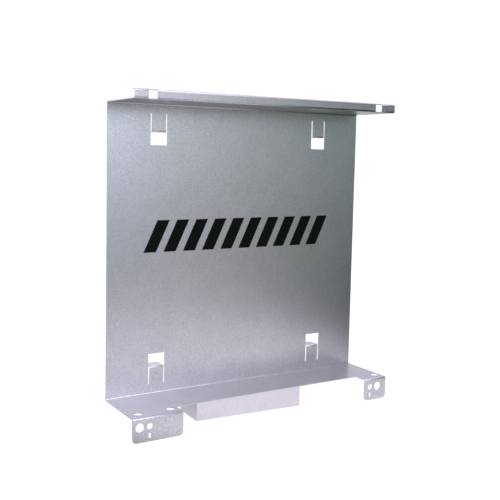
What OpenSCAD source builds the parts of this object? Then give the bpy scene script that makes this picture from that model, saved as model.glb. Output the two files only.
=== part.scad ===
// Folded sheet-metal spacer bracket.
// A flat back panel carries a top flange with an upturned lip, a bottom flange with two
// drilled ears, and four hooks cut out of the panel and bent backwards.
// A loose folded box under the bottom flange keeps the bracket upright.
//
// Frame: X to the right, Y to the back, Z up. The origin is the middle of the space that
// the whole part takes up, at the level that it stands on.

/* [Sheet] */
// Thickness of the bracket's sheet
sheet_t = 1.2; // [0.8:0.1:2]
// Inside radius of every bend
bend_r = 1.2; // [0.8:0.1:2.5]

/* [Back panel] */
// Width of the panel and of both flanges
panel_w = 440; // [360:1:540]
// Clear height between the two flanges
bay_h = 416; // [340:1:520]

/* [Top flange and lip] */
// Distance from the panel's front face to the lip's front face
top_depth = 89.5; // [70:0.5:110]
// Height from the underside of the flange to the top of the lip
lip_h = 13; // [11:0.5:20]
// How far the lip's top edge is turned back over the flange
return_depth = 7.6; // [6:0.2:12]
// Radius of the lip's corners at its two ends
lip_corner_r = 2.2; // [1:0.1:3]
// Width of the square holes through the lip
lip_hole_w = 12.6; // [8:0.1:16]
// Distance from the left end of the lip to the middle of the left hole
left_lip_inset = 26; // [12:0.1:40]
// Distance from the right end of the lip to the middle of the right hole
right_lip_inset = 32.4; // [12:0.1:45]
// How far the square holes run into the flange, and back into the turned edge
lip_hole_reach = 4.2; // [3:0.1:5]
// Width of the two cuts beside the lip's middle strip
lip_slit_w = 0.8; // [0.5:0.1:1.5]

/* [Bottom flange and ears] */
// Distance from the panel's front face to the flange's front edge
bottom_depth = 69.8; // [60:0.2:78]
// Distance from the panel's front face to the ears' front face
ear_depth = 91.3; // [85:0.1:115]
// Height of the flange's top surface over the ears' lower edge
ear_drop = 33.8; // [32:0.2:45]
// Width of the left ear
left_ear_w = 75.1; // [70:0.1:100]
// Width of the right ear
right_ear_w = 43.4; // [41:0.1:70]
// Radius of the ears' lower corners
ear_corner_r = 6; // [2:0.5:7]
// Radius where the flange's front edge runs into an ear
ear_fillet_r = 3; // [1:0.5:6]

/* [Holes in the ears] */
// Diameter of the wide holes
wide_hole_d = 12.7; // [8:0.1:13]
// Diameter of the small holes
small_hole_d = 9; // [5:0.1:11]
// Distance between the wide and the small hole of an ear
ear_hole_step = 14.6; // [13:0.1:16]
// Distance from the left ear's outer side to its wide hole
left_wide_inset = 10.7; // [9:0.1:25]
// Distance from the right ear's outer side to its wide hole
right_wide_inset = 17; // [9:0.1:18]
// Depth of both rows of holes below the flange's top surface
ear_hole_drop = 13.2; // [12:0.1:14.5]
// Width of the upright slots
ear_slot_w = 4.2; // [3:0.1:6]
// Height of the upright slots from end to end
ear_slot_h = 7.8; // [6.5:0.1:9]
// Depth of the slots' middle below the flange's top surface
ear_slot_drop = 25.8; // [25:0.1:26.5]

/* [Holes in the bottom flange] */
// Diameter of the holes
flange_hole_d = 12; // [6:0.1:13]
// Distance from the ears' front face back to the holes
flange_hole_setback = 17; // [14:0.1:25]
// Distance from the left side of the flange to the first hole
left_hole_inset = 15.7; // [10:0.1:25]
// Distance from the left side of the flange to the second hole
second_hole_inset = 63.8; // [45:0.1:66]
// Distance from the right side of the flange to the last hole
right_hole_inset = 8.8; // [8:0.1:30]

/* [Hooks] */
// Distance between the left and the right hooks
hook_pitch = 282.8; // [200:0.2:320]
// Width of a hook
hook_w = 22.4; // [12:0.2:30]
// Width of the cut on each side of a hook
slit_w = 1.8; // [1:0.1:3]
// Height of a hook from its root to its far side
hook_rise = 26.6; // [15:0.2:40]
// How far the hooks stand behind the panel's front face
hook_reach = 19; // [10:0.5:30]
// Clear height of the window beyond a hook
window_h = 18.2; // [10:0.2:30]
// Distance from the top flange to the upper hooks' roots
upper_root = 12.6; // [6:0.2:40]
// Distance from the bottom flange to the lower hooks' roots
lower_root = 13.6; // [6:0.2:40]

/* [Support box] */
// Width of the box
box_w = 175.5; // [120:0.5:240]
// Depth of the box
box_d = 58; // [40:0.5:62]
// Thickness of the box's sheet
box_t = 1.2; // [0.8:0.1:2]
// Outside radius of the box's upright corners
box_corner_r = 3; // [2.2:0.1:6]
// Radius of the free lower corner of the box's front wall
box_foot_r = 4; // [1:0.5:8]
// Distance of the box's middle to the right of the panel's middle
box_x = -12.4; // [-60:0.2:60]
// Distance from the panel's front face forwards to the box's middle
box_y = 27.8; // [26:0.2:32]
// Turn of the box about the vertical, in degrees
box_turn = -3.9; // [-6:0.1:6]

/* [Printed band] */
// Width of the band
band_w = 328; // [200:1:340]
// Height of the band
band_h = 46; // [20:1:80]
// Height of the band's middle over the bottom flange
band_z = 229; // [120:1:260]
// Number of bars in the band
bar_count = 10; // [4:1:16]
// Share of each step that its bar covers
bar_share = 0.62; // [0.3:0.01:0.8]
// How far a bar leans over its height
bar_lean = 22; // [0:1:40]
// Thickness of the print
ink_t = 0.15; // [0.1:0.05:0.3]

/* [Hidden] */

$fn = 48;
// How far a cutting shape runs past the face that it cuts
past = 1;

steel = "#aab0ba";
pale_steel = "#c3c6d0";
box_steel = "#b9bbc4";
ink = "#0b120e";

half_w = panel_w / 2;
// Outside radius of a bend, which is also how much of a flat each bend takes up
bend_out = bend_r + sheet_t;

// Heights over the ground
shelf_top = ear_drop;
shelf_under = shelf_top - sheet_t;
roof_under = shelf_top + bay_h;
roof_top = roof_under + sheet_t;
lip_top = roof_under + lip_h;

// Places along Y, with the whole part centred on the origin
front_reach = max(top_depth, ear_depth);
panel_front = (front_reach - hook_reach) / 2;
panel_back = panel_front + sheet_t;
lip_front = panel_front - top_depth;
shelf_front = panel_front - bottom_depth;
ear_front = panel_front - ear_depth;

lip_hole_x = [left_lip_inset - half_w, half_w - right_lip_inset];
lip_strip_x = (lip_hole_x[0] + lip_hole_x[1]) / 2;
ear_hole_z = shelf_top - ear_hole_drop;
ear_slot_z = shelf_top - ear_slot_drop;
shelf_hole_y = ear_front + flange_hole_setback;
shelf_hole_x = [left_hole_inset - half_w, second_hole_inset - half_w, half_w - right_hole_inset];

upper_root_z = roof_under - upper_root;
lower_root_z = shelf_top + lower_root;
hook_side = hook_pitch / 2;
// The opening that a hook leaves in the panel
cut_w = hook_w + 2 * slit_w;
cut_h = hook_rise + window_h;

// ---- Shapes that the sub-parts share ----

// Pushes an outline drawn in Y and Z sideways, from x_from to x_to
module along_x(x_from, x_to) {
    translate([x_from, 0, 0])
        rotate([90, 0, 90])
            linear_extrude(x_to - x_from)
                children();
}

// Pushes an outline drawn in X and Z backwards, from y_from to y_to
module along_y(y_from, y_to) {
    translate([0, y_to, 0])
        rotate([90, 0, 0])
            linear_extrude(y_to - y_from)
                children();
}

// A rectangle given by two opposite corners
module block_2d(low, high) {
    translate(low)
        square(high - low);
}

// A quarter turn of sheet about a bend's centre, turned to the quadrant it fills
module bend_2d(centre, turn) {
    translate(centre)
        rotate(turn)
            intersection() {
                difference() {
                    circle(bend_out);
                    circle(bend_r);
                }
                square(bend_out);
            }
}

// What a round corner of radius r cuts off a square one, the corner being at the origin
// and the material in the quadrant of +X and +Y
module corner_waste_2d(r) {
    difference() {
        translate([-past, -past])
            square(r + past);
        translate([r, r])
            circle(r);
    }
}

// ---- Back panel ----

// The opening for one hook: root_z is where the hook grows from, way is 1 for a hook that
// points up and -1 for one that points down
module hook_cut(side, root_z, way) {
    z_low = way > 0 ? root_z : root_z - cut_h;
    along_y(panel_front - past, panel_back + past)
        translate([side * hook_side - cut_w / 2, z_low])
            square([cut_w, cut_h]);
}

module back_panel() {
    color(steel)
        difference() {
            along_x(-half_w, half_w)
                block_2d([panel_front, shelf_top + bend_r], [panel_back, roof_under - bend_r]);
            for (side = [-1, 1]) {
                hook_cut(side, upper_root_z, -1);
                hook_cut(side, lower_root_z, 1);
            }
        }
}

// ---- Top flange and lip ----

// The two square holes, through the lip and both of its bends
module lip_holes() {
    for (x = lip_hole_x)
        translate([x - lip_hole_w / 2, lip_front - past, roof_under - past])
            cube([lip_hole_w, lip_hole_reach + past, lip_h + 2 * past]);
}

// The two cuts that free the sides of the middle strip
module lip_slits() {
    flat_h = lip_h - 2 * bend_out;
    for (side = [-1, 1])
        translate([lip_strip_x + side * (lip_hole_w - lip_slit_w) / 2 - lip_slit_w / 2,
                   lip_front - past, roof_under + bend_out])
            cube([lip_slit_w, sheet_t + 2 * past, flat_h]);
}

module top_flange() {
    color(steel)
        difference() {
            along_x(-half_w, half_w) {
                bend_2d([panel_front - bend_r, roof_under - bend_r], 0);
                block_2d([lip_front + bend_out, roof_under], [panel_front - bend_r, roof_top]);
            }
            lip_holes();
        }
}

// What the round corners at the two ends of the lip cut off
module lip_corner_waste() {
    for (side = [-1, 1])
        along_y(lip_front - past, lip_front + bend_out)
            translate([side * half_w, lip_top])
                rotate(side > 0 ? 180 : 270)
                    corner_waste_2d(lip_corner_r);
}

// The upright face, with the bend that joins it to the flange
module front_lip() {
    color(pale_steel)
        difference() {
            along_x(-half_w, half_w) {
                bend_2d([lip_front + bend_out, roof_under + bend_out], 180);
                block_2d([lip_front, roof_under + bend_out], [lip_front + sheet_t, lip_top - bend_out]);
            }
            lip_holes();
            lip_slits();
            lip_corner_waste();
        }
}

// The top of the lip, turned back over the flange
module turned_edge() {
    bend_y = lip_front + bend_out;
    color(pale_steel)
        difference() {
            along_x(-half_w, half_w) {
                bend_2d([bend_y, lip_top - bend_out], 90);
                block_2d([bend_y, lip_top - sheet_t], [lip_front + return_depth, lip_top]);
            }
            lip_holes();
            lip_corner_waste();
        }
}

// ---- Bottom flange and ears ----

// One ear's share of the flange, seen from above, with the round at its inner corner.
// x_outer is the ear's outer side and way points from there to its inner side.
module ear_root_2d(x_outer, ear_w, way) {
    x_inner = x_outer + way * ear_w;
    block_2d([min(x_outer, x_inner), ear_front + bend_out], [max(x_outer, x_inner), shelf_front]);
    translate([x_inner, shelf_front])
        mirror([way > 0 ? 0 : 1, 0])
            mirror([0, 1])
                difference() {
                    square(ear_fillet_r);
                    translate([ear_fillet_r, ear_fillet_r])
                        circle(ear_fillet_r);
                }
}

module bottom_flange() {
    color(steel)
        difference() {
            union() {
                along_x(-half_w, half_w)
                    bend_2d([panel_front - bend_r, shelf_top + bend_r], 270);
                translate([0, 0, shelf_under])
                    linear_extrude(sheet_t) {
                        block_2d([-half_w, shelf_front], [half_w, panel_front - bend_r]);
                        ear_root_2d(-half_w, left_ear_w, 1);
                        ear_root_2d(half_w, right_ear_w, -1);
                    }
            }
            for (x = shelf_hole_x)
                translate([x, shelf_hole_y, shelf_under - past])
                    cylinder(d = flange_hole_d, h = sheet_t + 2 * past);
        }
}

// A round hole through an ear
module ear_hole(x, z, d) {
    translate([x, ear_front - past, z])
        rotate([-90, 0, 0])
            cylinder(d = d, h = sheet_t + 2 * past);
}

// An upright slot through an ear
module ear_slot(x) {
    half_run = (ear_slot_h - ear_slot_w) / 2;
    for (end = [-1, 1])
        ear_hole(x, ear_slot_z + end * half_run, ear_slot_w);
    along_y(ear_front - past, ear_front + sheet_t + past)
        translate([x - ear_slot_w / 2, ear_slot_z - half_run])
            square([ear_slot_w, 2 * half_run]);
}

// An ear from x_low to x_high, with its wide hole at wide_x and its small hole at small_x
module ear(x_low, x_high, wide_x, small_x) {
    color(pale_steel)
        difference() {
            along_x(x_low, x_high) {
                bend_2d([ear_front + bend_out, shelf_top - bend_out], 90);
                block_2d([ear_front, 0], [ear_front + sheet_t, shelf_top - bend_out]);
            }
            ear_hole(wide_x, ear_hole_z, wide_hole_d);
            ear_hole(small_x, ear_hole_z, small_hole_d);
            ear_slot(small_x);
            along_y(ear_front - past, ear_front + sheet_t + past) {
                translate([x_low, 0])
                    corner_waste_2d(ear_corner_r);
                translate([x_high, 0])
                    mirror([1, 0])
                        corner_waste_2d(ear_corner_r);
            }
        }
}

module left_ear() {
    wide_x = left_wide_inset - half_w;
    ear(-half_w, left_ear_w - half_w, wide_x, wide_x + ear_hole_step);
}

module right_ear() {
    wide_x = half_w - right_wide_inset;
    ear(half_w - right_ear_w, half_w, wide_x, wide_x - ear_hole_step);
}

// ---- Hooks ----

// A hook: a strip of the panel that leaves it at root_z and turns back.
// way is 1 for a hook that points up and -1 for one that points down.
module hook(side, root_z, way) {
    x_mid = side * hook_side;
    color(pale_steel)
        translate([0, 0, root_z])
            mirror([0, 0, way > 0 ? 0 : 1])
                along_x(x_mid - hook_w / 2, x_mid + hook_w / 2) {
                    block_2d([panel_front, 0], [panel_back, hook_rise - bend_out]);
                    bend_2d([panel_front + bend_out, hook_rise - bend_out], 90);
                    block_2d([panel_front + bend_out, hook_rise - sheet_t],
                             [panel_front + hook_reach, hook_rise]);
                }
}

module upper_left_hook() {
    hook(-1, upper_root_z, -1);
}

module upper_right_hook() {
    hook(1, upper_root_z, -1);
}

module lower_left_hook() {
    hook(-1, lower_root_z, 1);
}

module lower_right_hook() {
    hook(1, lower_root_z, 1);
}

// ---- Support box ----

// A rectangle with round corners, centred on the origin
module round_rect_2d(w, d, r) {
    square([w - 2 * r, d], center = true);
    square([w, d - 2 * r], center = true);
    for (x = [-1, 1], y = [-1, 1])
        translate([x * (w / 2 - r), y * (d / 2 - r)])
            circle(r);
}

// Open below, closed on top, where it meets the underside of the bottom flange
module support_box() {
    color(box_steel)
        translate([box_x, panel_front - box_y, 0])
            rotate(box_turn)
                difference() {
                    linear_extrude(shelf_under)
                        round_rect_2d(box_w, box_d, box_corner_r);
                    translate([0, 0, -past])
                        linear_extrude(shelf_under - box_t + past)
                            round_rect_2d(box_w - 2 * box_t, box_d - 2 * box_t, box_corner_r - box_t);
                    along_y(-box_d / 2 - past, box_corner_r - box_d / 2)
                        translate([box_w / 2, 0])
                            mirror([1, 0])
                                corner_waste_2d(box_foot_r);
                }
}

// ---- Printed band ----

// A row of equal leaning bars, printed on the panel's front face
module printed_band() {
    step = (band_w - bar_lean) / (bar_count - 1 + bar_share);
    bar_w = step * bar_share;
    color(ink)
        along_y(panel_front - ink_t, panel_front)
            translate([-band_w / 2, shelf_top + band_z - band_h / 2])
                for (i = [0 : bar_count - 1])
                    translate([i * step, 0])
                        polygon([[0, 0], [bar_w, 0], [bar_w + bar_lean, band_h], [bar_lean, band_h]]);
}

back_panel();
top_flange();
front_lip();
turned_edge();
bottom_flange();
left_ear();
right_ear();
upper_left_hook();
upper_right_hook();
lower_left_hook();
lower_right_hook();
support_box();
printed_band();
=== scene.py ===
"""Folded sheet-metal spacer bracket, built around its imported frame.

The bracket is one galvanised blank: a back panel, a top flange with a lip, a bottom flange with two
ears, and four hooks. Each is a piece of its own here, drawn as the flat blank and then folded.
"""
import math

import bmesh
import bpy
from bpy.props import FloatProperty, FloatVectorProperty, IntProperty, PointerProperty
from mathutils import Matrix, Vector
from mathutils.geometry import delaunay_2d_cdt


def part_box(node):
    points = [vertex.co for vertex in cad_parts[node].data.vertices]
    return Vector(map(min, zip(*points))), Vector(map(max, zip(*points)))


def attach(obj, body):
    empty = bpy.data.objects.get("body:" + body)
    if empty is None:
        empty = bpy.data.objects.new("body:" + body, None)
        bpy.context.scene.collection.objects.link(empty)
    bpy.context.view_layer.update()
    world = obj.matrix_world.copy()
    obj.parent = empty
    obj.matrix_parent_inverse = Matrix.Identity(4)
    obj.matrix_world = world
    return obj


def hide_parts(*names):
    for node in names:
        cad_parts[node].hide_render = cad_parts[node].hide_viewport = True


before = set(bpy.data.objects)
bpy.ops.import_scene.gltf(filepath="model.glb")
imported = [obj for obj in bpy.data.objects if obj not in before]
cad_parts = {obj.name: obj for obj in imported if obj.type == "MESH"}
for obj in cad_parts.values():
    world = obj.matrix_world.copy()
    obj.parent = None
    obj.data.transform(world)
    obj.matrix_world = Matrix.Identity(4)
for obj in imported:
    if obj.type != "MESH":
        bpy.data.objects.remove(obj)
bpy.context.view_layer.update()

bl_info = {
    "name": "Spacer Bracket",
    "version": (1, 0, 0),
    "blender": (4, 5, 0),
    "location": "View3D > Sidebar > Bracket",
    "description": "Builds a folded sheet-metal spacer bracket with hooks, a lip, ears and a support box",
    "category": "Object",
}

MM = 0.001
QUARTER = math.pi / 2

PANEL_LOW, PANEL_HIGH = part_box("back_panel")
LIP_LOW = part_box("front_lip")[0]
EDGE_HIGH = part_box("turned_edge")[1]
LEFT_EAR_LOW, LEFT_EAR_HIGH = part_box("left_ear")
RIGHT_EAR_LOW, RIGHT_EAR_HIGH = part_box("right_ear")

SHEET = PANEL_HIGH.y - PANEL_LOW.y
HALF_W = PANEL_HIGH.x
PANEL_FRONT = PANEL_LOW.y
ROOF_UNDER = LIP_LOW.z
LIP_TOP = EDGE_HIGH.z
LIP_FRONT = LIP_LOW.y
EAR_FRONT = LEFT_EAR_LOW.y
BEND_IN = ROOF_UNDER - PANEL_HIGH.z
BEND_OUT = BEND_IN + SHEET
SHELF_TOP = PANEL_LOW.z - BEND_IN

# Places closer than this are one place, and faces at less than this angle are one flat.
SAME_PLACE = MM / 100
SAME_FLAT = math.radians(0.2)
# Edges sharper than ROUNDED are eased, but not where two pieces of the blank join. Edges blunter
# than SMOOTH are shaded smooth, but not beside a flat, which is a face within ON_AXIS of an axis.
ROUNDED = math.radians(50)
SMOOTH = math.radians(35)
ON_AXIS = math.radians(4)
# Material slot of the sheared edges. Slot 0 is the face of the sheet.
CUT_SLOT = 1

BAR_ROUND = 0.5 * MM
BAR_WELD = 0.001 * MM

# ---------------------------------------------------------------- Settings


def length(name, description, default, low=0.0, high=1.0):
    """A size in metres, as a property."""
    return FloatProperty(name=name, description=description, default=default, min=low, max=high,
                         precision=5, subtype="DISTANCE", unit="LENGTH")


def colour(name, description, default):
    """A colour, as a property."""
    return FloatVectorProperty(name=name, description=description, default=default, size=4,
                               min=0.0, max=1.0, subtype="COLOR")


class BracketSizes(bpy.types.PropertyGroup):
    """Sizes of what is cut into the blank, and how finely it is folded."""

    edge_round: length("Edge round", "Radius that punching leaves on the sheet's edges", 0.16 * MM)
    bend_steps: IntProperty(name="Bend steps", description="Strips that each bend is made of",
                            default=10, min=4, max=32)
    hole_steps: IntProperty(name="Hole steps", description="Sides of a round hole",
                            default=40, min=16, max=96)

    lip_hole_w: length("Lip hole width", "Width of the square holes through the lip", 12.6 * MM)
    lip_hole_reach: length("Lip hole reach", "How far those holes run into flange and turned edge",
                           4.2 * MM)
    left_lip_inset: length("Left lip hole", "From the left end of the lip to the hole's middle",
                           26 * MM)
    right_lip_inset: length("Right lip hole", "From the right end of the lip to the hole's middle",
                            32.4 * MM)
    lip_slit_w: length("Lip cut", "Width of the cuts beside the lip's middle strip", 0.8 * MM)
    lip_corner: length("Lip corner", "Radius of the lip's corners at its two ends", 2.2 * MM)

    shelf_setback: length("Flange front", "From the panel's front face to the flange's front edge",
                          69.8 * MM)
    ear_corner: length("Ear corner", "Radius of the ears' lower corners", 6 * MM)
    ear_fillet: length("Ear fillet", "Radius where the flange's edge runs into an ear", 3 * MM)
    wide_hole_d: length("Wide hole", "Diameter of the ears' wide holes", 12.7 * MM)
    small_hole_d: length("Small hole", "Diameter of the ears' small holes", 9 * MM)
    ear_hole_step: length("Hole step", "From an ear's wide hole to its small one", 14.6 * MM)
    left_wide_inset: length("Left wide hole", "From the left ear's outer side to the wide hole",
                            10.7 * MM)
    right_wide_inset: length("Right wide hole", "From the right ear's outer side to the wide hole",
                             17 * MM)
    ear_hole_drop: length("Hole drop", "Depth of the ears' holes below the flange", 13.2 * MM)
    ear_slot_w: length("Slot width", "Width of the ears' upright slots", 4.2 * MM)
    ear_slot_h: length("Slot height", "Height of the ears' upright slots", 7.8 * MM)
    ear_slot_drop: length("Slot drop", "Depth of the slots' middle below the flange", 25.8 * MM)

    flange_hole_d: length("Flange hole", "Diameter of the bottom flange's holes", 12 * MM)
    flange_hole_setback: length("Flange hole setback", "From the ears' front face to those holes",
                                17 * MM)
    left_hole_inset: length("First flange hole", "From the flange's left side", 15.7 * MM)
    second_hole_inset: length("Second flange hole", "From the flange's left side", 63.8 * MM)
    right_hole_inset: length("Last flange hole", "From the flange's right side", 8.8 * MM)

    slit_w: length("Hook cut", "Width of the cut on each side of a hook", 1.8 * MM)
    hook_lean: FloatVectorProperty(name="Hook lean",
                                   description="How far each hook leans forwards: upper left, "
                                               "upper right, lower left, lower right",
                                   default=[math.radians(a) for a in (0, 2, 2.6, 1.5)], size=4,
                                   unit="ROTATION")
    lean_run: length("Lean bend", "Length over which a leaning hook curves forwards", 8 * MM)
    window_h: length("Hook window", "Clear height of the window beyond a hook", 18.2 * MM)

    box_wall: length("Box wall", "Thickness of the support box's sheet", 1.2 * MM)
    box_corner: length("Box corner", "Outside radius of the box's upright corners", 3 * MM)
    box_foot: length("Box foot", "Radius of the free lower corner of the box's front", 4 * MM)
    box_w: length("Box width", "Width of the support box", 175.5 * MM)
    box_d: length("Box depth", "Depth of the support box", 58 * MM)
    box_turn: FloatProperty(name="Box turn", description="Turn of the box about the vertical",
                            default=math.radians(-3.9), subtype="ANGLE", unit="ROTATION")

    bar_count: IntProperty(name="Bars", description="Number of printed bars", default=10, min=2)
    bar_share: FloatProperty(name="Bar share", description="Share of each step that a bar covers",
                             default=0.62, min=0.1, max=0.9, subtype="FACTOR")
    bar_lean: length("Bar lean", "How far a bar leans over its height", 22 * MM)


class BracketFinish(bpy.types.PropertyGroup):
    """Colours and grain of the finishes."""

    zinc: colour("Zinc", "Galvanised face", (0.70, 0.70, 0.71, 1))
    zinc_dark: colour("Zinc, dull", "Duller grains of the galvanised face", (0.53, 0.54, 0.55, 1))
    cut: colour("Cut edge", "Bare metal of a sheared edge", (0.72, 0.71, 0.74, 1))
    box_zinc: colour("Box face", "Galvanised face of the support box", (0.80, 0.79, 0.80, 1))
    ink: colour("Ink", "Printed band", (0.0020, 0.0045, 0.0025, 1))
    grain: length("Grain", "Size of the finest grains of zinc", 1.3 * MM)
    spangle: length("Spangle", "Size of the zinc's crystals", 7 * MM)
    roughness: FloatProperty(name="Roughness", description="Roughness of the galvanised face",
                             default=0.30, min=0.0, max=1.0, subtype="FACTOR")


class BracketStudio(bpy.types.PropertyGroup):
    """The camera and the light."""

    eye: FloatVectorProperty(name="Camera place", description="Where the camera stands",
                             default=(-0.63392, -0.96261, 0.37883), subtype="XYZ", unit="LENGTH")
    heading: FloatProperty(name="Heading", description="Turn of the view to the right of +Y",
                           default=math.radians(30.873), subtype="ANGLE", unit="ROTATION")
    dip: FloatProperty(name="Dip", description="How far the view points below the horizon",
                       default=math.radians(5.089), subtype="ANGLE", unit="ROTATION")
    roll: FloatProperty(name="Roll", description="Turn of the camera about its own view",
                        default=math.radians(1.053), subtype="ANGLE", unit="ROTATION")
    focal: FloatProperty(name="Focal length", description="Focal length on a 36 mm sensor, in mm",
                         default=56.103, min=10)
    shift_x: FloatProperty(name="Shift X", description="Sideways shift of the lens", default=0.0586)
    shift_y: FloatProperty(name="Shift Y", description="Upward shift of the lens", default=-0.0491)
    light: FloatProperty(name="Light", description="Strength of the light tent", default=1.0,
                         min=0.0)
    # The light pool is painted light: a painted pool of glow on the floor near the object, seen only in
    # reflections.
    pool: colour("Light pool", "Light that the floor near the object throws back",
                 (0.93, 0.87, 0.99, 1))
    pool_start: length("Pool start", "Distance at which the light pool begins to fade", 0.26,
                       high=5.0)
    pool_reach: length("Pool reach", "Distance at which the light pool has faded away", 0.44,
                       high=5.0)
    pool_middle: FloatVectorProperty(name="Pool middle", description="Middle of the light pool",
                                     default=(0.05, -0.28, 0.0), subtype="XYZ", unit="LENGTH")


# Light by heading, in degrees to the right of -Y. The tent has a large soft light in front and a
# dark screen to the right of it, and the far floor glows with painted light in front and behind.
# The numbers began as a least-squares fit and were then changed.
TENT_LIGHT = (
    (-180, (1.15, 1.12, 1.18)),
    (-90, (0.50, 0.52, 0.58)),
    (-20, (1.60, 1.70, 2.10)),
    (12, (2.45, 2.65, 3.30)),
    (23, (1.10, 1.05, 1.17)),
    (30, (0.64, 0.68, 0.66)),
    (37, (0.18, 0.30, 0.26)),
    (44, (0.00, 0.03, 0.02)),
    (110, (0.02, 0.05, 0.07)),
    (180, (1.15, 1.12, 1.18)),
)
# Painted glow of the far floor by heading, seen only in reflections.
FLOOR_LIGHT = (
    (-180, (1.40, 1.40, 1.40)),
    (-90, (0.10, 0.10, 0.10)),
    (10, (0.12, 0.17, 0.20)),
    (28, (0.38, 0.34, 0.28)),
    (38, (0.18, 0.20, 0.16)),
    (50, (0.02, 0.05, 0.04)),
    (100, (0.01, 0.02, 0.02)),
    (180, (1.40, 1.40, 1.40)),
)
TENT_TOP = (1.40, 1.15, 1.50, 1)
LIGHT_MAX = 4.0
# Heights are of directions: 0 is the horizon and 1 is straight up. The tent turns to TENT_TOP over
# TOP_FROM to TOP_FULL, and what its table gives grows to LIFT times that over LIFT_FROM to LIFT_FULL.
TOP_FROM, TOP_FULL = 0.2, 0.9
LIFT_FROM, LIFT_FULL, LIFT = 0.05, 0.22, 1.25

FLOOR_RADIUS, FLOOR_SIDES = 14, 96
FLOOR_GREYS = (0.20, 0.20, 0.20, 1), (0.22, 0.22, 0.22, 1)
# What the camera sees of the floor and of the background.
FLOOR_GLOW = 0.88
BACKGROUND_GLOW = 1.05
SENSOR_WIDTH = 36


# ---------------------------------------------------------------- Folding a flat blank


class Fold:
    """The line that one face of a sheet follows through flats and bends.

    The line runs in a plane with axes a and b, and the sheet's thickness lies to its left. A place on
    the blank is (across, along): across is at right angles to the plane, along follows the line.
    """

    def __init__(self, start, heading, runs, steps, frame_of_line=Matrix.Identity(4)):
        self.runs = []
        self.matrix = frame_of_line
        along, (a, b) = 0.0, start
        for run, curve in runs:
            self.runs.append((along, a, b, heading, run, curve))
            a, b, heading = self._follow(a, b, heading, run, curve)
            along += run
        self.ends = [first for first, *_ in self.runs] + [along]
        self.steps = steps

    @staticmethod
    def _follow(a, b, heading, run, curve):
        if curve == 0:
            return a + run * math.cos(heading), b + run * math.sin(heading), heading
        turned = heading + curve * run
        a += (math.sin(turned) - math.sin(heading)) / curve
        b -= (math.cos(turned) - math.cos(heading)) / curve
        return a, b, turned

    def point(self, across, along, depth):
        """Where a place on the blank goes, at a depth into the sheet."""
        past = [r for r in self.runs if r[0] <= along] or self.runs[:1]
        first, a, b, heading, _, curve = past[-1]
        a, b, heading = self._follow(a, b, heading, along - first, curve)
        flat = Vector((across, a - depth * math.sin(heading), b + depth * math.cos(heading)))
        return self.matrix @ flat

    def cuts(self):
        """The distances along the line at which the blank is divided."""
        found = set(self.ends)
        for first, _, _, _, run, curve in self.runs:
            if curve:
                found |= {first + run * i / self.steps for i in range(self.steps)}
        return sorted(found)


def flat_run(run):
    return run, 0.0


def left_bend(radius):
    return QUARTER * radius, 1 / radius


def right_bend(radius):
    return QUARTER * radius, -1 / radius


def rectangle(low, high):
    """Corners of a rectangle, from two opposite ones."""
    (x0, y0), (x1, y1) = low, high
    return [(x0, y0), (x1, y0), (x1, y1), (x0, y1)]


def arc(centre, radius, first, last, steps):
    """Points on an arc, both ends included, with its angles in quarter turns."""
    angles = [QUARTER * (first + (last - first) * i / steps) for i in range(steps + 1)]
    return [(centre[0] + radius * math.cos(t), centre[1] + radius * math.sin(t)) for t in angles]


def ring(centre, diameter, steps):
    """A round hole, turned so that no side of it faces along an axis."""
    return arc(centre, diameter / 2, 0, 4, steps)[:-1]


def slot_hole(centre, width, height, steps):
    """A hole with round ends, long in the second direction."""
    reach, r = (height - width) / 2, width / 2
    x, y = centre
    return arc((x, y + reach), r, 0, 2, steps) + arc((x, y - reach), r, 2, 4, steps)


def inside(x, y, loops):
    """Whether a point is inside an odd number of loops."""
    odd = False
    for loop in loops:
        for (x0, y0), (x1, y1) in zip(loop, loop[1:] + loop[:1]):
            if (y0 > y) != (y1 > y) and x < x0 + (y - y0) * (x1 - x0) / (y1 - y0):
                odd = not odd
    return odd


def blank(loops, cuts):
    """Corners and triangles of a flat shape, divided along lines of equal distance."""
    corners, edges = [], []
    for loop in loops:
        first = len(corners)
        corners += [Vector(p) for p in loop]
        edges += [(first + i, first + (i + 1) % len(loop)) for i in range(len(loop))]
    margin = 5 * MM
    low, high = (f(c.y for c in corners) for f in (min, max))
    left, right = min(c.x for c in corners) - margin, max(c.x for c in corners) + margin
    for cut in cuts:
        if low + SAME_PLACE < cut < high - SAME_PLACE:
            edges.append((len(corners), len(corners) + 1))
            corners += [Vector((left, cut)), Vector((right, cut))]
    points, _, triangles, *_ = delaunay_2d_cdt(corners, edges, [], 0, 1e-7)
    kept = []
    for triangle in triangles:
        x, y = sum((points[i] for i in triangle), Vector((0, 0))) / 3
        if inside(x, y, loops):
            kept.append(triangle)
    return points, kept


def on_any(place, segments):
    """Whether a place on the blank lies on one of the segments."""
    for (x0, y0), (x1, y1) in segments:
        run = Vector((x1 - x0, y1 - y0))
        off = Vector((place[0] - x0, place[1] - y0))
        share = off.dot(run) / run.length_squared
        if -1e-4 < share < 1 + 1e-4 and (off - run * share).length < SAME_PLACE:
            return True
    return False


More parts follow.
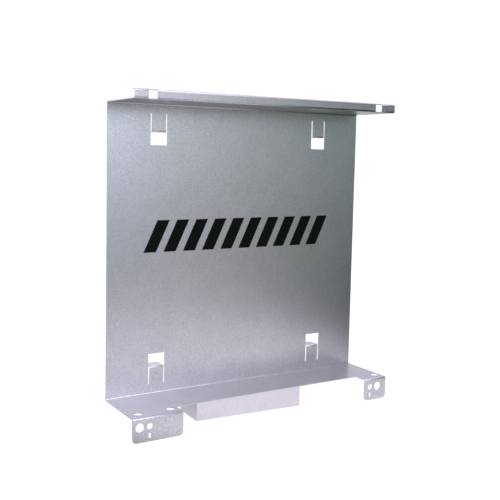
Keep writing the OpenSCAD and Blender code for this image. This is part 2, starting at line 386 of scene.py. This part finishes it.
def folded_mesh(made, line, loops, thickness, edge_round, joins=()):
    """Adds a folded blank to a bmesh. Nothing is rounded along joins, where it meets a neighbour."""
    points, triangles = blank(loops, line.cuts())
    used = sorted({i for t in triangles for i in t})
    near = {i: made.verts.new(line.point(points[i].x, points[i].y, 0)) for i in used}
    far = {i: made.verts.new(line.point(points[i].x, points[i].y, thickness)) for i in used}
    place = {v: tuple(points[i]) for side in (near, far) for i, v in side.items()}
    faces = []
    for t in triangles:
        faces.append(made.faces.new([near[i] for i in t]))
        faces.append(made.faces.new([far[i] for i in reversed(t)]))
    sides = {(a, b) for t in triangles for a, b in zip(t, t[1:] + t[:1])}
    for a, b in sorted(sides):
        if (b, a) not in sides:
            faces.append(made.faces.new([near[b], near[a], far[a], far[b]]))
            faces[-1].material_index = CUT_SLOT
    bmesh.ops.recalc_face_normals(made, faces=faces)
    edges = list({e for f in faces for e in f.edges})
    bmesh.ops.dissolve_limit(made, angle_limit=SAME_FLAT, verts=[], edges=edges,
                             delimit={"MATERIAL"})
    corners = [v for v in place if v.is_valid]
    rounded = []
    for edge in {e for v in corners for e in v.link_edges}:
        if len(edge.link_faces) != 2 or edge.calc_face_angle(0) < ROUNDED:
            continue
        if not all(on_any(place[v], joins) for v in edge.verts):
            rounded.append(edge)
    if edge_round:
        bmesh.ops.bevel(made, geom=rounded, offset=edge_round, segments=2, profile=0.5,
                        affect="EDGES", clamp_overlap=True, material=CUT_SLOT)


def shade(mesh):
    """Smooth bends and hole walls, with crisp edges round every flat."""
    def is_flat(face):
        return max(abs(c) for c in face.normal) > math.cos(ON_AXIS)

    made = bmesh.new()
    made.from_mesh(mesh)
    made.normal_update()
    for face in made.faces:
        face.smooth = True
    for edge in made.edges:
        faces = edge.link_faces
        edge.smooth = (len(faces) == 2 and edge.calc_face_angle(4) < SMOOTH
                       and not any(is_flat(f) for f in faces))
    made.to_mesh(mesh)
    made.free()


def piece(name, made, materials, nodes):
    """Turns a bmesh into a finished piece that stands for its CAD nodes."""
    mesh = bpy.data.meshes.new(name)
    made.to_mesh(mesh)
    made.free()
    shade(mesh)
    for material in materials:
        mesh.materials.append(material)
    thing = bpy.data.objects.new(name, mesh)
    bpy.context.scene.collection.objects.link(thing)
    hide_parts(*nodes)
    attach(thing, "root")
    return thing


# ---------------------------------------------------------------- The bracket's own lines


def sheet_line(sizes):
    """The face of the blank, from the turned edge down over lip, flange, panel and flange to an ear."""
    turned = EDGE_HIGH.y - LIP_FRONT - BEND_OUT
    lip = LIP_TOP - ROOF_UNDER - 2 * BEND_OUT
    roof = PANEL_FRONT - BEND_IN - LIP_FRONT - BEND_OUT
    panel = PANEL_HIGH.z - PANEL_LOW.z
    shelf = PANEL_FRONT - BEND_IN - EAR_FRONT - BEND_OUT
    ear = SHELF_TOP - BEND_OUT - LEFT_EAR_LOW.z
    runs = [flat_run(turned), left_bend(BEND_OUT), flat_run(lip), left_bend(BEND_OUT),
            flat_run(roof), right_bend(BEND_IN), flat_run(panel), right_bend(BEND_IN),
            flat_run(shelf), left_bend(BEND_OUT), flat_run(ear)]
    return Fold((EDGE_HIGH.y, LIP_TOP), math.pi, runs, sizes.bend_steps)


def lip_hole_sides(sizes):
    """Left and right side of each square hole through the lip."""
    half = sizes.lip_hole_w / 2
    middles = (sizes.left_lip_inset - HALF_W, HALF_W - sizes.right_lip_inset)
    return [(x - half, x + half) for x in middles]


def hook_places():
    """Node, way (1 up, -1 down), lowest and highest corner of each hook."""
    found = []
    for node, way in (("upper_left_hook", -1), ("upper_right_hook", -1),
                      ("lower_left_hook", 1), ("lower_right_hook", 1)):
        low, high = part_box(node)
        found.append((node, way, low, high))
    return found


def sheet_piece(name, line, loops, joins, sizes):
    """Folds a blank of the bracket's own sheet, in the place of the node it is named for."""
    made = bmesh.new()
    folded_mesh(made, line, loops, SHEET, sizes.edge_round, joins)
    materials = [zinc(), cut_edge()]
    return piece(name, made, materials, [name.replace("_sheet", "")])


# ---------------------------------------------------------------- Finishes


class Nodes:
    """Short calls for building a node tree."""

    def __init__(self, tree):
        self.tree = tree
        self.tree.nodes.clear()

    def add(self, kind, inputs=None, **settings):
        node = self.tree.nodes.new(kind)
        for name, value in settings.items():
            setattr(node, name, value)
        for name, value in (inputs or {}).items():
            if isinstance(value, bpy.types.NodeSocket):
                self.tree.links.new(value, node.inputs[name])
            else:
                node.inputs[name].default_value = value
        return node

    def noise(self, where, size, detail=2.0, rough=0.5):
        node = self.add("ShaderNodeTexNoise", {"Vector": where, "Scale": 1 / size,
                                               "Detail": detail, "Roughness": rough})
        return node.outputs["Fac"]

    def remap(self, value, low, high, to_low, to_high):
        node = self.add("ShaderNodeMapRange", {"Value": value, "From Min": low, "From Max": high,
                                               "To Min": to_low, "To Max": to_high})
        return node.outputs["Result"]

    def blend(self, share, first, second, kind="MIX"):
        node = self.add("ShaderNodeMix", data_type="RGBA", blend_type=kind)
        for socket, value in ((node.inputs[0], share), (node.inputs[6], first),
                              (node.inputs[7], second)):
            if isinstance(value, bpy.types.NodeSocket):
                self.tree.links.new(value, socket)
            else:
                socket.default_value = value
        return node.outputs[2]

    def math(self, operation, first, second):
        node = self.add("ShaderNodeMath", {0: first, 1: second}, operation=operation)
        return node.outputs[0]


def new_material(name):
    material = bpy.data.materials.new(name)
    material.use_nodes = True
    return material, Nodes(material.node_tree)


def finish():
    return bpy.context.scene.bracket_finish


# Sizes of blotches and patches, in grains, and how high the grain stands out.
BLOTCH, PATCH = 4.5, 22
GRAIN_RELIEF = 0.16 * MM


def galvanised(name, bright, dull):
    """Galvanised steel: fine grain, faint crystals, a soft uneven sheen."""
    look = finish()
    material, n = new_material(name)
    where = n.add("ShaderNodeTexCoord").outputs["Object"]
    grain = n.noise(where, look.grain, 3.0, 0.6)
    blotch = n.noise(where, BLOTCH * look.grain, 2.0)
    patches = n.noise(where, PATCH * look.grain, 2.0)
    crystal = n.add("ShaderNodeTexVoronoi", {"Vector": where, "Scale": 1 / look.spangle})
    tone = n.add("ShaderNodeSeparateColor", {"Color": crystal.outputs["Color"]}).outputs["Red"]
    share = n.math("ADD", n.remap(grain, 0.3, 0.7, -2.0, 2.0), n.remap(patches, 0.3, 0.7, 0.3, 0.7))
    share = n.math("ADD", share, n.remap(blotch, 0.3, 0.7, -0.22, 0.22))
    share = n.math("ADD", share, n.remap(tone, 0, 1, -0.06, 0.06))
    shine = n.remap(grain, 0.25, 0.75, look.roughness - 0.05, look.roughness + 0.08)
    bump = n.add("ShaderNodeBump", {"Height": grain, "Strength": 0.5, "Distance": GRAIN_RELIEF})
    shader = n.add("ShaderNodeBsdfPrincipled", {
        "Base Color": n.blend(n.remap(share, 0, 1, 0, 1), bright, dull),
        "Metallic": 1.0, "Roughness": shine, "Normal": bump.outputs["Normal"]})
    n.add("ShaderNodeOutputMaterial", {"Surface": shader.outputs[0]})
    return material


def once(name, maker):
    """The material of that name, made the first time it is asked for."""
    return bpy.data.materials.get(name) or maker()


def zinc():
    look = finish()
    return once("zinc", lambda: galvanised("zinc", look.zinc, look.zinc_dark))


def box_zinc():
    look = finish()
    dull = [c * 0.86 for c in look.box_zinc[:3]] + [1]
    return once("box_zinc", lambda: galvanised("box_zinc", look.box_zinc, dull))


def cut_edge():
    """Sheared metal: a little brighter, with a fine uneven tone."""
    def make():
        material, n = new_material("cut_edge")
        where = n.add("ShaderNodeTexCoord").outputs["Object"]
        tear = n.noise(where, 0.4 * MM, 2.0)
        shader = n.add("ShaderNodeBsdfPrincipled", {
            "Base Color": n.blend(tear, finish().cut, (0.55, 0.54, 0.56, 1)),
            "Metallic": 1.0, "Roughness": n.remap(tear, 0.2, 0.8, 0.3, 0.5)})
        n.add("ShaderNodeOutputMaterial", {"Surface": shader.outputs[0]})
        return material

    return once("cut_edge", make)


def ink():
    """Satin black print, a little thin in places."""
    def make():
        material, n = new_material("ink")
        where = n.add("ShaderNodeTexCoord").outputs["Object"]
        film = n.noise(where, 1.4 * MM, 3.0)
        speck = n.noise(where, 12 * MM, 2.0)
        deep = finish().ink
        thin = [4 * c for c in deep[:3]] + [1]
        bump = n.add("ShaderNodeBump", {"Height": film, "Strength": 0.1, "Distance": 0.03 * MM})
        shader = n.add("ShaderNodeBsdfPrincipled", {
            "Base Color": n.blend(n.remap(film, 0.55, 0.85, 0, 0.6), deep, thin),
            "Specular IOR Level": 0.06, "Roughness": n.remap(speck, 0.3, 0.7, 0.36, 0.5),
            "Normal": bump.outputs["Normal"]})
        n.add("ShaderNodeOutputMaterial", {"Surface": shader.outputs[0]})
        return material

    return once("ink", make)


# ---------------------------------------------------------------- Operators


class BRACKET_OT_stage(bpy.types.Operator):
    """Adds the floor, the light and the camera"""

    bl_idname = "bracket.stage"
    bl_label = "Stage"

    def execute(self, context):
        studio = context.scene.bracket_studio
        self.floor(studio)
        self.tent(context.scene, studio)
        self.camera(context.scene, studio)
        context.scene.view_settings.view_transform = "Standard"
        return {"FINISHED"}

    def floor(self, studio):
        made = bmesh.new()
        bmesh.ops.create_circle(made, cap_ends=True, segments=FLOOR_SIDES, radius=FLOOR_RADIUS)
        mesh = bpy.data.meshes.new("floor")
        made.to_mesh(mesh)
        made.free()
        mesh.materials.append(self.pale(studio))
        floor = bpy.data.objects.new("floor", mesh)
        bpy.context.scene.collection.objects.link(floor)

    def pale(self, studio):
        """A floor that the camera sees as plain white, and that lights the object by heading."""
        material, n = new_material("floor")
        where = n.add("ShaderNodeTexCoord").outputs["Object"]
        weave = n.noise(where, 4 * MM)
        top = n.add("ShaderNodeBsdfPrincipled", {
            "Base Color": n.blend(weave, *FLOOR_GREYS),
            "Roughness": 0.9, "Specular IOR Level": 0.1,
            "Emission Color": (1, 1, 1, 1), "Emission Strength": FLOOR_GLOW})
        # Reflections see painted light here: a painted pool of glow around pool_middle, fading to a
        # painted glow by heading farther out.
        off = n.add("ShaderNodeVectorMath", {0: where, 1: studio.pool_middle}, operation="DISTANCE")
        fade = n.add("ShaderNodeMapRange", {"Value": off.outputs["Value"],
                                            "From Min": studio.pool_start,
                                            "From Max": studio.pool_reach, "To Min": 0.0,
                                            "To Max": 1.0}, interpolation_type="SMOOTHSTEP")
        far = self.by_heading(n, where, FLOOR_LIGHT)
        glow = n.add("ShaderNodeEmission", {
            "Color": n.blend(fade.outputs[0], studio.pool, far), "Strength": studio.light})
        ray = n.add("ShaderNodeLightPath").outputs["Is Camera Ray"]
        both = n.add("ShaderNodeMixShader", {0: ray, 1: glow.outputs[0], 2: top.outputs[0]})
        n.add("ShaderNodeOutputMaterial", {"Surface": both.outputs[0]})
        return material

    def by_heading(self, n, way, table):
        """The light that a table gives for the heading of a direction."""
        x, y, _ = n.add("ShaderNodeSeparateXYZ", {0: way}).outputs
        heading = n.math("ARCTAN2", x, n.math("MULTIPLY", y, -1.0))
        ramp = n.add("ShaderNodeValToRGB", {0: n.remap(heading, -math.pi, math.pi, 0, 1)})
        stops = ramp.color_ramp.elements
        while len(stops) < len(table):
            stops.new(0.5)
        for stop, (degrees, light) in zip(stops, table):
            stop.position = (degrees + 180) / 360
            stop.color = [c / LIGHT_MAX for c in light] + [1]
        scaled = n.add("ShaderNodeVectorMath", {0: ramp.outputs[0], "Scale": LIGHT_MAX},
                       operation="SCALE")
        return scaled.outputs[0]

    def tent(self, scene, studio):
        """A light tent all round, which the camera sees as plain white."""
        world = bpy.data.worlds.new("tent")
        world.use_nodes = True
        scene.world = world
        n = Nodes(world.node_tree)
        way = n.add("ShaderNodeTexCoord").outputs["Generated"]
        height = n.add("ShaderNodeSeparateXYZ", {0: way}).outputs[2]
        rise = n.remap(height, TOP_FROM, TOP_FULL, 0, 1)
        lift = n.remap(height, LIFT_FROM, LIFT_FULL, 1.0, LIFT)
        around = n.add("ShaderNodeVectorMath", {0: self.by_heading(n, way, TENT_LIGHT),
                                                "Scale": lift}, operation="SCALE").outputs[0]
        light = n.add("ShaderNodeBackground", {"Color": n.blend(rise, around, TENT_TOP),
                                               "Strength": studio.light})
        plain = n.add("ShaderNodeBackground", {"Color": (1, 1, 1, 1), "Strength": BACKGROUND_GLOW})
        ray = n.add("ShaderNodeLightPath").outputs["Is Camera Ray"]
        both = n.add("ShaderNodeMixShader", {0: ray, 1: light.outputs[0], 2: plain.outputs[0]})
        n.add("ShaderNodeOutputWorld", {"Surface": both.outputs[0]})

    def camera(self, scene, studio):
        data = bpy.data.cameras.new("camera")
        data.sensor_width = SENSOR_WIDTH
        data.lens = studio.focal
        data.shift_x, data.shift_y = studio.shift_x, studio.shift_y
        data.clip_start, data.clip_end = 0.05, 60
        camera = bpy.data.objects.new("camera", data)
        turn = (Matrix.Rotation(-studio.heading, 4, "Z")
                @ Matrix.Rotation(QUARTER - studio.dip, 4, "X")
                @ Matrix.Rotation(studio.roll, 4, "Z"))
        camera.matrix_world = Matrix.Translation(studio.eye) @ turn
        scene.collection.objects.link(camera)
        scene.camera = camera


class BRACKET_OT_back_panel(bpy.types.Operator):
    """Builds the back panel, with the opening that each hook was cut from"""

    bl_idname = "bracket.back_panel"
    bl_label = "Back Panel"

    def execute(self, context):
        sizes = context.scene.bracket_sizes
        line = sheet_line(sizes)
        top, bottom = line.ends[6], line.ends[7]
        outline = rectangle((-HALF_W, top), (HALF_W, bottom))
        joins = [((-HALF_W, top), (HALF_W, top)), ((-HALF_W, bottom), (HALF_W, bottom))]

        def along(z):
            return top + PANEL_HIGH.z - z

        windows = []
        for _, way, low, high in hook_places():
            root = along(low.z if way > 0 else high.z)
            end = along(high.z + sizes.window_h if way > 0 else low.z - sizes.window_h)
            left, right = low.x - sizes.slit_w, high.x + sizes.slit_w
            windows.append([(left, root), (low.x, root), (high.x, root), (right, root),
                            (right, end), (left, end)])
            joins.append(((low.x, root), (high.x, root)))
        sheet_piece("back_panel_sheet", line, [outline, *windows], joins, sizes)
        return {"FINISHED"}


class BRACKET_OT_top_flange(bpy.types.Operator):
    """Builds the top flange, its lip and the lip's turned edge"""

    bl_idname = "bracket.top_flange"
    bl_label = "Top Flange and Lip"

    def execute(self, context):
        sizes = context.scene.bracket_sizes
        line = sheet_line(sizes)
        self.flange(line, sizes)
        self.lip(line, sizes)
        self.turned_edge(line, sizes)
        return {"FINISHED"}

    def flange(self, line, sizes):
        front, back = line.ends[4], line.ends[6]
        reach = front + sizes.lip_hole_reach - BEND_OUT
        outline, joins, x = [(-HALF_W, front)], [], -HALF_W
        for left, right in lip_hole_sides(sizes):
            outline += [(left, front), (left, reach), (right, reach), (right, front)]
            joins.append(((x, front), (left, front)))
            x = right
        joins += [((x, front), (HALF_W, front)), ((-HALF_W, back), (HALF_W, back))]
        outline += [(HALF_W, front), (HALF_W, back), (-HALF_W, back)]
        sheet_piece("top_flange_sheet", line, [outline], joins, sizes)

    def lip(self, line, sizes):
        top, bottom = line.ends[2], line.ends[4]
        (hole_1, hole_2), (hole_3, hole_4) = lip_hole_sides(sizes)
        loops, joins = [], []
        for left, right in ((-HALF_W, hole_1), (hole_2, hole_3), (hole_4, HALF_W)):
            loops.append(rectangle((left, top), (right, bottom)))
            joins += [((left, top), (right, top)), ((left, bottom), (right, bottom))]
        middle = (hole_1 + hole_2 + hole_3 + hole_4) / 4
        for side in (-1, 1):
            x = middle + side * (sizes.lip_hole_w - sizes.lip_slit_w) / 2
            half = sizes.lip_slit_w / 2
            loops.append(rectangle((x - half, top + half), (x + half, line.ends[3] - half)))
        sheet_piece("front_lip_sheet", line, loops, joins, sizes)

    def turned_edge(self, line, sizes):
        back, bend, front = line.ends[:3]
        reach = back + EDGE_HIGH.y - LIP_FRONT - sizes.lip_hole_reach
        corner = self.corner(line, sizes)
        outline = [(-HALF_W, back), (-HALF_W, bend)]
        outline += [(-x, along) for x, along in corner]
        joins, x = [], -HALF_W
        for left, right in lip_hole_sides(sizes):
            outline += [(left, front), (left, reach), (right, reach), (right, front)]
            joins.append(((x, front), (left, front)))
            x = right
        joins.append(((x, front), (HALF_W, front)))
        outline += list(reversed(corner)) + [(HALF_W, bend), (HALF_W, back)]
        sheet_piece("turned_edge_sheet", line, [outline], joins, sizes)

    def corner(self, line, sizes):
        """Right side of the blank along the upper bend, where the lip's corner is round."""
        bend, front = line.ends[1:3]
        r = sizes.lip_corner
        places = []
        for i in range(sizes.bend_steps + 1):
            rise = BEND_OUT * (1 - math.cos(QUARTER * i / sizes.bend_steps))
            x = HALF_W - r + math.sqrt(max(r * r - max(r - rise, 0) ** 2, 0))
            places.append((x, bend + (front - bend) * i / sizes.bend_steps))
        return places


class BRACKET_OT_bottom_flange(bpy.types.Operator):
    """Builds the bottom flange, with its three holes and the roots of the ears"""

    bl_idname = "bracket.bottom_flange"
    bl_label = "Bottom Flange"

    def execute(self, context):
        sizes = context.scene.bracket_sizes
        line = sheet_line(sizes)
        back, bend, ears = line.ends[7:10]

        def along(y):
            return bend + PANEL_FRONT - BEND_IN - y

        edge = along(PANEL_FRONT - sizes.shelf_setback)
        left, right = LEFT_EAR_HIGH.x, RIGHT_EAR_LOW.x
        r = sizes.ear_fillet
        outline = [(-HALF_W, back), (HALF_W, back), (HALF_W, ears), (right, ears)]
        outline += arc((right - r, edge + r), r, 0, -1, 6)
        outline += arc((left + r, edge + r), r, -1, -2, 6)
        outline += [(left, ears), (-HALF_W, ears)]
        hole_y = along(EAR_FRONT + sizes.flange_hole_setback)
        middles = (sizes.left_hole_inset - HALF_W, sizes.second_hole_inset - HALF_W,
                   HALF_W - sizes.right_hole_inset)
        holes = [ring((x, hole_y), sizes.flange_hole_d, sizes.hole_steps) for x in middles]
        joins = [((-HALF_W, back), (HALF_W, back)), ((-HALF_W, ears), (left, ears)),
                 ((right, ears), (HALF_W, ears))]
        sheet_piece("bottom_flange_sheet", line, [outline, *holes], joins, sizes)
        return {"FINISHED"}


class BRACKET_OT_ears(bpy.types.Operator):
    """Builds the two drilled ears"""

    bl_idname = "bracket.ears"
    bl_label = "Ears"

    def execute(self, context):
        sizes = context.scene.bracket_sizes
        line = sheet_line(sizes)
        left_hole = sizes.left_wide_inset - HALF_W
        right_hole = HALF_W - sizes.right_wide_inset
        self.ear("left_ear", line, sizes, LEFT_EAR_LOW.x, LEFT_EAR_HIGH.x, left_hole,
                 left_hole + sizes.ear_hole_step)
        self.ear("right_ear", line, sizes, RIGHT_EAR_LOW.x, RIGHT_EAR_HIGH.x, right_hole,
                 right_hole - sizes.ear_hole_step)
        return {"FINISHED"}

    def ear(self, node, line, sizes, left, right, wide_x, small_x):
        root, foot = line.ends[9], line.ends[11]
        r = sizes.ear_corner
        outline = [(left, root), (right, root)]
        outline += arc((right - r, foot - r), r, 0, 1, 8) + arc((left + r, foot - r), r, 1, 2, 8)

        def along(drop):
            return foot - (SHELF_TOP - LEFT_EAR_LOW.z) + drop

        steps = sizes.hole_steps
        holes = [ring((wide_x, along(sizes.ear_hole_drop)), sizes.wide_hole_d, steps),
                 ring((small_x, along(sizes.ear_hole_drop)), sizes.small_hole_d, steps),
                 slot_hole((small_x, along(sizes.ear_slot_drop)), sizes.ear_slot_w,
                           sizes.ear_slot_h, 10)]
        joins = [((left, root), (right, root))]
        sheet_piece(node + "_sheet", line, [outline, *holes], joins, sizes)


class BRACKET_OT_hooks(bpy.types.Operator):
    """Builds the four hooks that were cut from the panel"""

    bl_idname = "bracket.hooks"
    bl_label = "Hooks"

    def execute(self, context):
        sizes = context.scene.bracket_sizes
        for (node, way, low, high), lean in zip(hook_places(), sizes.hook_lean):
            line = self.strip(sizes, way, low, high, lean, 0)
            tongue = high.y - line.point(0, line.ends[-1], 0).y
            line = self.strip(sizes, way, low, high, lean, tongue)
            outline = rectangle((low.x, 0), (high.x, line.ends[-1]))
            joins = [((low.x, 0), (high.x, 0))]
            sheet_piece(node + "_sheet", line, [outline], joins, sizes)
        return {"FINISHED"}

    def strip(self, sizes, way, low, high, lean, tongue):
        """A hook's line: it curves forwards, stands straight, and turns back into its tongue."""
        run = sizes.lean_run
        radius = BEND_IN if way > 0 else BEND_OUT
        runs = [(run, way * lean / run), flat_run(high.z - low.z - BEND_OUT - run),
                (radius * (QUARTER + lean), -way / radius), flat_run(tongue)]
        start = (PANEL_FRONT + SHEET, low.z) if way > 0 else (PANEL_FRONT, high.z)
        return Fold(start, way * QUARTER, runs, sizes.bend_steps)


class BRACKET_OT_support_box(bpy.types.Operator):
    """Builds the loose folded box under the bottom flange"""

    bl_idname = "bracket.support_box"
    bl_label = "Support Box"

    def execute(self, context):
        sizes = context.scene.bracket_sizes
        low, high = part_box("support_box")
        middle = (low + high) / 2
        place = (Matrix.Translation((middle.x, middle.y, low.z))
                 @ Matrix.Rotation(sizes.box_turn, 4, "Z"))
        made = bmesh.new()
        self.walls(made, sizes, place, high.z - low.z)
        self.top(made, sizes, place, high.z - low.z)
        piece("support_box_shell", made, [box_zinc(), cut_edge()], ["support_box"])
        return {"FINISHED"}

    def walls(self, made, sizes, place, height):
        """One strip folded round four corners, with its ends meeting in the middle of the back."""
        r, gap = sizes.box_corner, 0.15 * MM
        wide, deep = sizes.box_w - 2 * r, sizes.box_d - 2 * r
        bend = left_bend(r)
        runs = [flat_run(wide / 2 - gap), bend, flat_run(deep), bend, flat_run(wide), bend,
                flat_run(deep), bend, flat_run(wide / 2 - gap)]
        upright = Matrix(((0, 1, 0, 0), (0, 0, 1, 0), (1, 0, 0, 0), (0, 0, 0, 1)))
        line = Fold((-gap, sizes.box_d / 2), math.pi, runs, sizes.bend_steps, place @ upright)
        top = height - sizes.box_wall
        front_end, bend_end = line.ends[5:7]
        foot = sizes.box_foot
        outline = [(0, 0), (top, 0), (top, line.ends[-1]), (0, line.ends[-1]), (0, bend_end)]
        steps = sizes.bend_steps
        for i in range(steps, 0, -1):
            x = r * math.sin(QUARTER * i / steps) + foot - r
            outline.append((self.foot_rise(x, foot), front_end + (bend_end - front_end) * i / steps))
        for i in range(3, -1, -1):
            x = (foot - r) * i / 3
            outline.append((self.foot_rise(x, foot), front_end - (foot - r) + x))
        joins = [((top, 0), (top, line.ends[-1]))]
        folded_mesh(made, line, [outline], sizes.box_wall, sizes.edge_round, joins)

    @staticmethod
    def foot_rise(x, foot):
        return foot - math.sqrt(max(foot * foot - x * x, 0))

    def top(self, made, sizes, place, height):
        r, steps = sizes.box_corner, sizes.bend_steps
        x, y = sizes.box_w / 2, sizes.box_d / 2
        outline = []
        for i, (sx, sy) in enumerate(((1, 1), (-1, 1), (-1, -1), (1, -1))):
            outline += arc((sx * (x - r), sy * (y - r)), r, i, i + 1, steps)
        lid = place @ Matrix.Translation((0, 0, height - sizes.box_wall))
        flat = Fold((-y, 0), 0.0, [flat_run(2 * y)], steps, lid)
        shifted = [(px, py + y) for px, py in outline]
        folded_mesh(made, flat, [shifted], sizes.box_wall, sizes.edge_round)


class BRACKET_OT_printed_band(bpy.types.Operator):
    """Builds the row of leaning bars that is printed on the panel"""

    bl_idname = "bracket.printed_band"
    bl_label = "Printed Band"

    def execute(self, context):
        sizes = context.scene.bracket_sizes
        low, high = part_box("printed_band")
        step = (high.x - low.x - sizes.bar_lean) / (sizes.bar_count - 1 + sizes.bar_share)
        tree = self.bar_tree()
        carrier = bpy.data.objects.new("bars", bpy.data.meshes.new("bars"))
        context.scene.collection.objects.link(carrier)
        row = carrier.modifiers.new("Bars", "NODES")
        row.node_group = tree
        values = {"Start": low, "Count": sizes.bar_count, "Step": step,
                  "Bar Width": step * sizes.bar_share, "Bar Height": high.z - low.z,
                  "Thickness": high.y - low.y, "Lean": sizes.bar_lean, "Material": ink()}
        for item in tree.interface.items_tree:
            if item.item_type == "SOCKET" and item.in_out == "INPUT" and item.name in values:
                value = values[item.name]
                row[item.identifier] = list(value) if isinstance(value, Vector) else value
        context.view_layer.update()
        depsgraph = context.evaluated_depsgraph_get()
        mesh = bpy.data.meshes.new_from_object(carrier.evaluated_get(depsgraph))
        mesh.name = "printed_bars"
        bpy.data.objects.remove(carrier)
        bars = bpy.data.objects.new("printed_bars", mesh)
        context.scene.collection.objects.link(bars)
        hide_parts("printed_band")
        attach(bars, "root")
        return {"FINISHED"}

    def bar_tree(self):
        """A geometry tree: one leaning bar with eased corners, repeated along X."""
        tree = bpy.data.node_groups.new("Leaning Bars", "GeometryNodeTree")
        face = tree.interface
        face.new_socket("Geometry", in_out="INPUT", socket_type="NodeSocketGeometry")
        for name, kind in (("Start", "Vector"), ("Count", "Int"), ("Step", "Float"),
                           ("Bar Width", "Float"), ("Bar Height", "Float"),
                           ("Thickness", "Float"), ("Lean", "Float"), ("Material", "Material")):
            face.new_socket(name, in_out="INPUT", socket_type="NodeSocket" + kind)
        face.new_socket("Geometry", in_out="OUTPUT", socket_type="NodeSocketGeometry")
        n = Nodes(tree)
        given = n.add("NodeGroupInput").outputs
        half_w = n.math("DIVIDE", given["Bar Width"], 2.0)
        half_h = n.math("DIVIDE", given["Bar Height"], 2.0)
        outline = n.add("GeometryNodeCurvePrimitiveQuadrilateral", {
            "Width": given["Bar Width"], "Height": given["Bar Height"]})
        eased = n.add("GeometryNodeFilletCurve", {"Curve": outline.outputs[0],
                                                  "Radius": BAR_ROUND, "Limit Radius": True})
        eased.mode = "POLY"
        eased.inputs["Count"].default_value = 4
        face_of_bar = n.add("GeometryNodeFillCurve", {"Curve": eased.outputs[0]})
        face_of_bar.mode = "NGONS"
        solid = n.add("GeometryNodeExtrudeMesh", {"Mesh": face_of_bar.outputs[0],
                                                  "Offset Scale": given["Thickness"]})
        underside = n.add("GeometryNodeFlipFaces", {"Mesh": face_of_bar.outputs[0]})
        closed = n.add("GeometryNodeJoinGeometry")
        tree.links.new(solid.outputs[0], closed.inputs[0])
        tree.links.new(underside.outputs[0], closed.inputs[0])
        welded = n.add("GeometryNodeMergeByDistance", {"Geometry": closed.outputs[0],
                                                       "Distance": BAR_WELD})
        place = n.add("GeometryNodeInputPosition").outputs[0]
        flat = n.add("ShaderNodeSeparateXYZ", {0: place}).outputs
        up = n.math("ADD", flat[1], half_h)
        slant = n.math("MULTIPLY", n.math("DIVIDE", up, given["Bar Height"]), given["Lean"])
        x = n.math("ADD", n.math("ADD", flat[0], half_w), slant)
        y = n.math("SUBTRACT", given["Thickness"], flat[2])
        upright = n.add("ShaderNodeCombineXYZ", {0: x, 1: y, 2: up})
        bar = n.add("GeometryNodeSetPosition", {"Geometry": welded.outputs[0],
                                                "Position": upright.outputs[0]})
        offset = n.add("ShaderNodeCombineXYZ", {0: given["Step"]})
        row = n.add("GeometryNodeMeshLine", {"Count": given["Count"],
                                             "Start Location": given["Start"],
                                             "Offset": offset.outputs[0]})
        many = n.add("GeometryNodeInstanceOnPoints", {"Points": row.outputs[0],
                                                      "Instance": bar.outputs[0]})
        real = n.add("GeometryNodeRealizeInstances", {"Geometry": many.outputs[0]})
        painted = n.add("GeometryNodeSetMaterial", {"Geometry": real.outputs[0],
                                                    "Material": given["Material"]})
        n.add("NodeGroupOutput", {0: painted.outputs[0]})
        return tree


# ---------------------------------------------------------------- Panel and start


class BRACKET_PT_bracket(bpy.types.Panel):
    """Lists what the bracket is built from"""

    bl_idname = "BRACKET_PT_bracket"
    bl_label = "Spacer Bracket"
    bl_space_type = "VIEW_3D"
    bl_region_type = "UI"
    bl_category = "Bracket"

    def draw(self, context):
        for operator in OPERATORS:
            self.layout.operator(operator.bl_idname)
        for name in GROUPS:
            group = getattr(context.scene, name)
            box = self.layout.box()
            for key in group.bl_rna.properties.keys():
                if key not in ("rna_type", "name"):
                    box.prop(group, key)


GROUPS = {"bracket_sizes": BracketSizes, "bracket_finish": BracketFinish,
          "bracket_studio": BracketStudio}
OPERATORS = (BRACKET_OT_stage, BRACKET_OT_back_panel, BRACKET_OT_top_flange,
             BRACKET_OT_bottom_flange, BRACKET_OT_ears, BRACKET_OT_hooks,
             BRACKET_OT_support_box, BRACKET_OT_printed_band)
CLASSES = (*GROUPS.values(), *OPERATORS, BRACKET_PT_bracket)


def register():
    for cls in CLASSES:
        bpy.utils.register_class(cls)
    for name, group in GROUPS.items():
        setattr(bpy.types.Scene, name, PointerProperty(type=group))


def unregister():
    for name in GROUPS:
        delattr(bpy.types.Scene, name)
    for cls in reversed(CLASSES):
        bpy.utils.unregister_class(cls)


def main():
    register()
    bpy.ops.bracket.stage()
    bpy.ops.bracket.back_panel()
    bpy.ops.bracket.top_flange()
    bpy.ops.bracket.bottom_flange()
    bpy.ops.bracket.ears()
    bpy.ops.bracket.hooks()
    bpy.ops.bracket.support_box()
    bpy.ops.bracket.printed_band()


if __name__ == "__main__":
    main()
